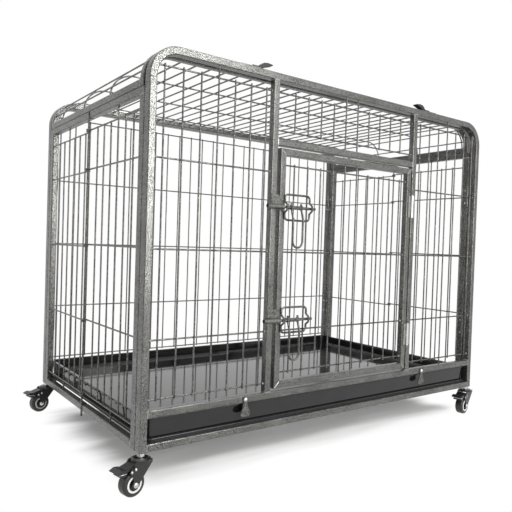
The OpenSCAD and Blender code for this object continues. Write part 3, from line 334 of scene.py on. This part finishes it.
def pressed(bm, outline, low, high, place, edge):
    """A flat pressing: an outline raised from low to high, with its edges broken."""
    under = [bm.verts.new(place @ Vector((x, y, low))) for x, y in outline]
    over = [bm.verts.new(place @ Vector((x, y, high))) for x, y in outline]
    made = [bm.faces.new(under[::-1]), bm.faces.new(over)]
    for k in range(len(outline)):
        nxt = (k + 1) % len(outline)
        made.append(bm.faces.new([under[k], under[nxt], over[nxt], over[k]]))
    rims = list({e for face in made[:2] for e in face.edges})
    bmesh.ops.bevel(bm, geom=rims, offset=edge, segments=2, profile=0.5, affect="EDGES")


# Welds: how much a spot or a bead swells, and how fast that changes per millimetre
SPOT_SWELL, SPOT_CHANGE = 0.22, 0.9
BEAD_SWELL, BEAD_CHANGE = 0.2, 0.35
RIPPLE = 0.25
RIPPLE_PITCH = 1.5
BEAD_END = 0.4
BEAD_SIDES = 6


def weld_spot(bm, place, size):
    """A weld spot: a small lump, uneven as the pool froze."""
    made = bmesh.ops.create_icosphere(bm, subdivisions=2, radius=size, matrix=Matrix.Translation(place))
    centre = Vector(place)
    for vert in made["verts"]:
        swell = 1.0 + SPOT_SWELL * noise.noise(vert.co * SPOT_CHANGE)
        vert.co = centre + (vert.co - centre) * swell


def weld_bead(bm, corners, size):
    """A weld bead laid along straight runs between corners, rippled along its length."""
    path = []
    for start_at, end_at in zip(corners, corners[1:]):
        first, last = Vector(start_at), Vector(end_at)
        count = max(2, round((last - first).length / (RIPPLE_PITCH / 2)))
        path += [first.lerp(last, k / count) for k in range(count)]
    path.append(Vector(corners[-1]))
    rings = []
    for k, point in enumerate(path):
        ahead = (path[min(k + 1, len(path) - 1)] - path[max(k - 1, 0)]).normalized()
        side = ahead.orthogonal().normalized()
        over = ahead.cross(side)
        swell = size * (1.0 + RIPPLE * (k % 2) + BEAD_SWELL * noise.noise(point * BEAD_CHANGE))
        if k in (0, len(path) - 1):
            swell *= BEAD_END
        rings.append([bm.verts.new(point + swell * (math.cos(a) * side + math.sin(a) * over))
                      for a in (math.tau * n / BEAD_SIDES for n in range(BEAD_SIDES))])
    for low, high in zip(rings, rings[1:]):
        turn = min(range(BEAD_SIDES), key=lambda t: (high[t].co - low[0].co).length)
        for n in range(BEAD_SIDES):
            a, b = (n + turn) % BEAD_SIDES, (n + 1 + turn) % BEAD_SIDES
            bm.faces.new([low[n], low[(n + 1) % BEAD_SIDES], high[b], high[a]])
    bm.faces.new(rings[0][::-1])
    bm.faces.new(rings[-1])


# Casters: place of the stem, and the angle in degrees that the fork trails at
CASTERS = {"front_left": (-538, -319, 191), "front_right": (538, -319, 190),
           "back_left": (-538, 319, 190), "back_right": (538, 319, 190)}
CASTER_TOP = 80
TRAIL = 20
AXLE_DROP = 55
CHEEK_TURNS = (math.radians(-90), math.radians(90))

# Profiles run out from the fork's middle plane; the shoe plate's outline is seen from above
HUB_RING = [(12.3, 10.4), (12.6, 11.35), (14.4, 11.8), (16.3, 11.4), (16.8, 10.4), (12.3, 10.4)]
AXLE_CAP = [(5.4, 14.9), (5.6, 16.5), (5.2, 17.4), (3.6, 18.5), (1.6, 19.0), (0, 19.05)]
CHEEK_RIVET = [(2.6, 14.8), (2.5, 15.5), (1.7, 16.1), (0, 16.3)]
CHEEK_RIVETS = ((29, -28.5), (20, -25.0))
SHOE_PLATE = [(37, -11.5), (39, -12.9), (52, -12.9), (54, -11),
              (54, 11), (52, 12.9), (39, 12.9), (37, 11.5)]
SHOE_PLATE_Z = (-29.4, -28.0)
SHOE_PLATE_EDGE = 0.4
RING_STEPS, CAP_STEPS, RIVET_STEPS = 36, 24, 16


def dress_casters():
    """White hub rings, bright axle caps and rivets, and the spring plate under each pedal."""
    for name, (x, y, trail_angle) in CASTERS.items():
        stem = Matrix.Translation((x, y, CASTER_TOP)) @ Matrix.Rotation(math.radians(trail_angle), 4, "Z")
        rings, caps, plate = bmesh.new(), bmesh.new(), bmesh.new()
        for turn in CHEEK_TURNS:
            face = Matrix.Rotation(turn, 4, "X")
            axle = stem @ Matrix.Translation((TRAIL, 0, -AXLE_DROP)) @ face
            turned(rings, HUB_RING, axle, RING_STEPS)
            turned(caps, AXLE_CAP, axle, CAP_STEPS)
            for rivet_x, rivet_z in CHEEK_RIVETS:
                spot = stem @ Matrix.Translation((rivet_x, 0, rivet_z)) @ face
                turned(caps, CHEEK_RIVET, spot, RIVET_STEPS)
        pressed(plate, SHOE_PLATE, *SHOE_PLATE_Z, stem, SHOE_PLATE_EDGE)
        finished(rings, name + "_hub_rings", name + "_wheel", RING_WHITE)
        finished(caps, name + "_caps_and_rivets", name + "_caster", ZINC)
        finished(plate, name + "_spring_plate", name + "_brake", ZINC)


dress_casters()

# Screws of the painted corner hinges: dished heads on the leaves' inner faces
SCREW_HEAD = [(2.5, 0.0), (2.4, 0.7), (1.7, 1.15), (1.0, 1.15), (0.6, 0.5), (0, 0.4)]
SCREW_STEPS = 14
CORNER_X, CORNER_Y = 528.0, 307.25
CORNER_Z = (660.2, 261.9)
SCREW_OFF, SCREW_RISE = 8.3, 19.0


def corner_screws():
    made = bmesh.new()
    both = (-1, 1)
    for sx, sy, z, off, rise in product(both, both, CORNER_Z, both, both):
        spot = Matrix.Translation((sx * CORNER_X, sy * CORNER_Y + off * SCREW_OFF, z + rise * SCREW_RISE))
        face = Matrix.Rotation(math.radians(-90 * sx), 4, "Y")
        turned(made, SCREW_HEAD, spot @ face, SCREW_STEPS)
    finished(made, "corner_hinge_screws", "frame", ZINC)


corner_screws()

# Where wires and tubes were welded, in millimetres: rows of the panels, tube ends and door mitres
ROWS = (837.0, 657.45, 477.9, 298.35, 181.0)
BACK_LOW_ROW = 150.5
TRANSOM_ROWS = (837.0, 751.8)
DOOR_ROWS = (675.8, 477.9, 298.35, 202.0)
GRILLE_Y = 322.0
TUBE = 16.0
FRONT_TUBE_Y = (-330.0, -314.0)
ARCH_INNER_X = 530.0
SIDE_TUBE_X = (530.0, 546.0)
BEND_X = 522.0
POST_LEFT = (-246.0, -230.0)
POST_RIGHT = (236.0, 252.0)
POST_ENDS = (162.0, 862.0)
HEADER_Z = (716.8, 732.8)
SILL_Z = (80.0, 96.0)
TRAY_RAIL_Z = (146.0, 162.0)
LEAF_END_Y = 284.5
STILE_Y = (284.5, 306.5)
STILE_TOP = 780.7
DOOR_X = (-221.0, 232.5)
DOOR_Z = (167.0, 712.8)
ROOF_INNER_Y = (-283.5, 289.0)
ROOF_RAIL_Z = (797.0, 813.0)
ROOF_WIRES = 27
ROOF_WIRE_X = 481.0
ROOF_WIRE_Z = 872.3

# Sizes of the welds; a bead's middle runs a little inside the tube's edge
WIRE_SPOT = 2.9
ROOF_SPOT = 2.4
TUBE_BEAD = 1.1
BEAD_INSET = 0.8
MITRE_BEAD = 1.0
MITRE_SUNK = 0.3
MITRE_FROM, MITRE_TO = 1.5, 15.5


def row_spots(bm, rows, ends, y):
    """A weld spot on the tube at each end of each row."""
    for z in rows:
        for x in ends:
            weld_spot(bm, (x, y, z), WIRE_SPOT)


def inset(span):
    """A tube's span, drawn in to where a bead's middle runs."""
    return span[0] + BEAD_INSET, span[1] - BEAD_INSET


def on_side(span, side):
    """A span on the side asked for, in rising order."""
    return sorted(side * edge for edge in span)


def tube_ring(bm, x, y, z):
    """A bead round a tube's end; the axis given as one number is the one it is welded across."""
    spans = [(s, s) if isinstance(s, float) else s for s in (x, y, z)]
    first, second = [axis for axis, span in enumerate(spans) if span[0] != span[1]]
    corners = []
    for a, b in ((0, 0), (1, 0), (1, 1), (0, 1), (0, 0)):
        corner = [span[0] for span in spans]
        corner[first], corner[second] = spans[first][a], spans[second][b]
        corners.append(corner)
    weld_bead(bm, corners, TUBE_BEAD)


def frame_welds():
    made = bmesh.new()
    for y, low_row in ((-GRILLE_Y, ROWS[-1]), (GRILLE_Y, BACK_LOW_ROW)):
        row_spots(made, ROWS[:1], (-BEND_X, BEND_X), y)
        row_spots(made, ROWS[1:4] + (low_row,), (-ARCH_INNER_X, ARCH_INNER_X), y)
    row_spots(made, ROWS, (POST_LEFT[0], POST_RIGHT[1]), -GRILLE_Y)
    row_spots(made, TRANSOM_ROWS, (POST_LEFT[1], POST_RIGHT[0]), -GRILLE_Y)
    front = inset(FRONT_TUBE_Y)
    back = on_side(front, -1)
    for post in (POST_LEFT, POST_RIGHT):
        for z in POST_ENDS:
            tube_ring(made, inset(post), front, z)
    for x in (POST_LEFT[1], POST_RIGHT[0]):
        tube_ring(made, x, front, inset(HEADER_Z))
    for x in (-ARCH_INNER_X, ARCH_INNER_X):
        for y, rail in ((front, SILL_Z), (front, TRAY_RAIL_Z), (back, SILL_Z)):
            tube_ring(made, x, y, inset(rail))
    for side in (-1, 1):
        tube = on_side(inset(SIDE_TUBE_X), side)
        for end in (-1, 1):
            tube_ring(made, tube, end * LEAF_END_Y, inset(SILL_Z))
        for end in (-1, 1):
            tube_ring(made, tube, on_side(inset(STILE_Y), end), STILE_TOP)
    finished(made, "frame_welds", "frame", WELD_HIGHLIGHT_PAINT)


def door_welds():
    made = bmesh.new()
    row_spots(made, DOOR_ROWS, (DOOR_X[0] + TUBE, DOOR_X[1] - TUBE), -GRILLE_Y)
    faces = (FRONT_TUBE_Y[0] + MITRE_SUNK, FRONT_TUBE_Y[1] - MITRE_SUNK)
    for (x, inward), (z, upward), y in product(zip(DOOR_X, (1, -1)), zip(DOOR_Z, (1, -1)), faces):
        run = [(x + inward * reach, y, z + upward * reach) for reach in (MITRE_FROM, MITRE_TO)]
        weld_bead(made, run, MITRE_BEAD)
    finished(made, "door_welds", "door", WELD_HIGHLIGHT_PAINT)


def roof_welds():
    made = bmesh.new()
    for y in ROOF_INNER_Y:
        for k in range(ROOF_WIRES):
            x = -ROOF_WIRE_X + 2 * ROOF_WIRE_X * k / (ROOF_WIRES - 1)
            weld_spot(made, (x, y, ROOF_WIRE_Z), ROOF_SPOT)
        for side in (-1, 1):
            tube_ring(made, on_side(inset(SIDE_TUBE_X), side), y, inset(ROOF_RAIL_Z))
    finished(made, "roof_welds", "roof", WELD_HIGHLIGHT_PAINT)


frame_welds()
door_welds()
roof_welds()

# Rolled edges of the moulded tray: the height and radius of a fine bead along the rim and of one
# along the base flange, each sunk partly into the tray's wall
TRAY_HALF = (528.0, 321.0)
TRAY_CORNER = 16.0
TRAY_BEADS = ((142.4, 1.1), (101.2, 2.0))
ROLL_SUNK = 0.6
CORNER_STEPS = 10
ROLL_SIDES = 10


def tray_beads():
    made = bmesh.new()
    for z, size in TRAY_BEADS:
        path = []
        for quarter, (sx, sy) in enumerate(((1, 1), (-1, 1), (-1, -1), (1, -1))):
            centre = Vector((sx * (TRAY_HALF[0] - TRAY_CORNER), sy * (TRAY_HALF[1] - TRAY_CORNER), z))
            for k in range(CORNER_STEPS + 1):
                a = math.radians(90 * (quarter + k / CORNER_STEPS))
                path.append((centre, Vector((math.cos(a), math.sin(a), 0.0))))
        rings = []
        for centre, out in path:
            middle = centre + out * (TRAY_CORNER - ROLL_SUNK * size)
            rings.append([made.verts.new(middle + size * (math.cos(b) * out + Vector((0, 0, math.sin(b)))))
                          for b in (math.tau * n / ROLL_SIDES for n in range(ROLL_SIDES))])
        for ring, following in zip(rings, rings[1:] + rings[:1]):
            for n in range(ROLL_SIDES):
                m = (n + 1) % ROLL_SIDES
                made.faces.new([ring[n], ring[m], following[m], following[n]])
    finished(made, "tray_rolled_edges", "tray", ROLLED_BLACK_HIGHLIGHT)


tray_beads()

# White cotton cloth: seen nearly white, with soft rolls, and white enough far off to have no edge.
# It keeps the crate's shadow under and near the crate, out to these half sizes in metres; the shadow
# then fades along folds that lie at an angle to the crate.
ROLL_MM = 240.0
ROLL_DEPTH_MM = 14.0
SHADOW_REACH = (0.465, 0.215)
SHADOW_EDGE = 0.045
SHADOW_FADE = 0.12
SHADOW_WHITE = 0.17
FOLD_MM = 75.0
FOLD_TURN = math.radians(52)
FOLD_STRETCH = (0.16, 1.0, 1.0)
FOLD_SWAY = 0.1


def cloth_floor():
    made, tree, place = start("white_cotton_cloth")
    rolls = add(tree, "ShaderNodeTexNoise", Vector=place, Scale=per_mm(ROLL_MM), Detail=2.0)
    cotton = add(tree, "ShaderNodeValToRGB", stops=[(0.3, "#ecece9"), (0.7, "#f6f6f4")],
                 Fac=rolls.outputs["Fac"])
    slope = add(tree, "ShaderNodeBump", Strength=0.25, Distance=ROLL_DEPTH_MM * MM,
                Height=rolls.outputs["Fac"])
    lit = add(tree, "ShaderNodeBsdfDiffuse", Color=cotton.outputs["Color"], Normal=slope.outputs["Normal"])
    glow = add(tree, "ShaderNodeEmission", Color=colour("#ffffff"), Strength=1.0)
    reach = add(tree, "ShaderNodeVectorMath", {"operation": "ABSOLUTE"}, _0=place)
    past = add(tree, "ShaderNodeVectorMath", {"operation": "SUBTRACT"}, _0=reach.outputs["Vector"],
               _1=(*SHADOW_REACH, 0.0))
    outside = add(tree, "ShaderNodeVectorMath", {"operation": "MAXIMUM"}, _0=past.outputs["Vector"])
    away = add(tree, "ShaderNodeVectorMath", {"operation": "LENGTH"}, _0=outside.outputs["Vector"])
    lie = add(tree, "ShaderNodeMapping", Vector=place, Rotation=(0.0, 0.0, FOLD_TURN), Scale=FOLD_STRETCH)
    folds = add(tree, "ShaderNodeTexNoise", Vector=lie.outputs["Vector"], Scale=per_mm(FOLD_MM), Detail=2.0)
    ragged = add(tree, "ShaderNodeMath", {"operation": "MULTIPLY_ADD"}, _0=folds.outputs["Fac"],
                 _1=FOLD_SWAY, _2=away.outputs["Value"])
    white = add(tree, "ShaderNodeMapRange", {"interpolation_type": "SMOOTHSTEP"}, Value=ragged.outputs[0],
                From_Min=SHADOW_EDGE, From_Max=SHADOW_EDGE + SHADOW_FADE, To_Min=SHADOW_WHITE, To_Max=1.0)
    share = add(tree, "ShaderNodeMath", {"operation": "MULTIPLY"}, _0=seen_or_mirrored(tree),
                _1=white.outputs["Result"])
    both = add(tree, "ShaderNodeMixShader", Fac=share.outputs[0], _1=lit.outputs[0], _2=glow.outputs[0])
    close(tree, both)
    return made


FLOOR_REACH = 14.0


def make_floor():
    mesh = bpy.data.meshes.new("floor")
    corners = [(x * FLOOR_REACH, y * FLOOR_REACH, 0.0) for x, y in ((-1, -1), (1, -1), (1, 1), (-1, 1))]
    mesh.from_pydata(corners, [], [(0, 1, 2, 3)])
    floor = bpy.data.objects.new("floor", mesh)
    scene.collection.objects.link(floor)
    wear(floor, cloth_floor())


make_floor()

# World: white where it is seen or mirrored, plain soft light everywhere else
WORLD_FILL = 0.4


def make_world():
    world = bpy.data.worlds.new("studio")
    world.use_nodes = True
    tree = world.node_tree
    tree.nodes.clear()
    white = add(tree, "ShaderNodeBackground", Color=colour("#ffffff"), Strength=1.0)
    fill = add(tree, "ShaderNodeBackground", Color=colour("#ffffff"), Strength=WORLD_FILL)
    both = add(tree, "ShaderNodeMixShader", Fac=seen_or_mirrored(tree), _1=fill.outputs[0],
               _2=white.outputs[0])
    add(tree, "ShaderNodeOutputWorld", Surface=both.outputs[0])
    scene.world = world


make_world()

# Lamps: place and aim in metres, width, height and power in watts
LAMPS = {
    "window_front": ((0.2, -2.1, 1.22), (-0.15, -0.33, 1.0), 1.05, 1.7, 39.0),
    "ceiling": ((0.2, 0.1, 3.2), (0.0, 0.0, 0.0), 3.0, 3.0, 55.0),
}


def make_lamps():
    for name, (place, aim, width, height, power) in LAMPS.items():
        data = bpy.data.lights.new(name, "AREA")
        data.shape = "RECTANGLE"
        data.size = width
        data.size_y = height
        data.energy = power
        lamp = bpy.data.objects.new(name, data)
        lamp.location = place
        lamp.rotation_euler = (Vector(aim) - Vector(place)).to_track_quat("-Z", "Y").to_euler()
        scene.collection.objects.link(lamp)


make_lamps()
